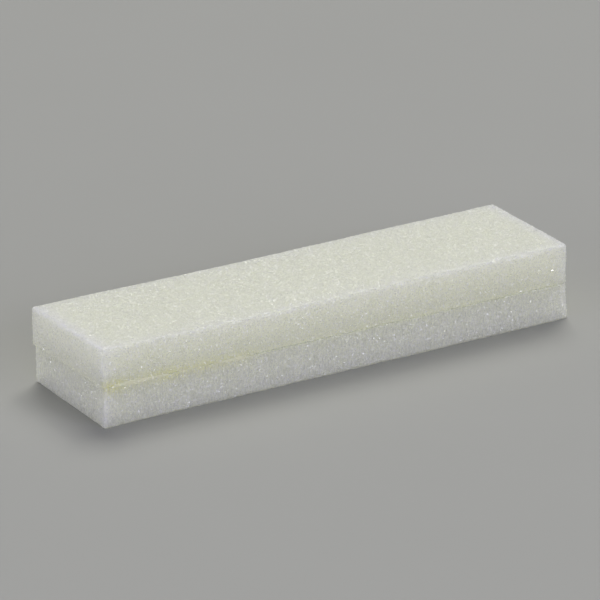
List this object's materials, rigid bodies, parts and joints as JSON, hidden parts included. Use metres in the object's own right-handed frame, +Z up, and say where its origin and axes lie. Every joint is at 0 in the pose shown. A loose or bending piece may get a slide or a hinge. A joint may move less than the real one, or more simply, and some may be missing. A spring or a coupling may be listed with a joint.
{
  "type": "nail buffer block",
  "caption": "Rectangular white nail buffer block: two fine foam slabs glued face to face, with an abrasive coat of bonded grains on the four long faces and bare cut ends.",
  "frame": {"origin": "centre of the bounding box's underside, on the surface that the block rests on", "axes": "+X along the block's length towards its square right end, +Y from the front face to the back face, +Z up through the thickness"},
  "size_m": [0.1006, 0.025, 0.0147],
  "materials": {
    "foam": "fine-celled translucent white foam, matt",
    "grit_coat": "white mineral grains in clear resin, rough and sparkling",
    "glue_film": "dried contact adhesive, dull cream",
    "glue_bead": "squeezed-out adhesive, yellowed and slightly glossy"
  },
  "bodies": {
    "root": {"lower_foam_core": "foam", "upper_foam_core": "foam", "glue_film": "glue_film", "front_glue_bead": "glue_bead", "end_glue_bead": "glue_bead", "top_grit_coat": "grit_coat", "bottom_grit_coat": "grit_coat", "upper_front_grit_coat": "grit_coat", "lower_front_grit_coat": "grit_coat", "upper_back_grit_coat": "grit_coat", "lower_back_grit_coat": "grit_coat"}
  },
  "joints": []
}
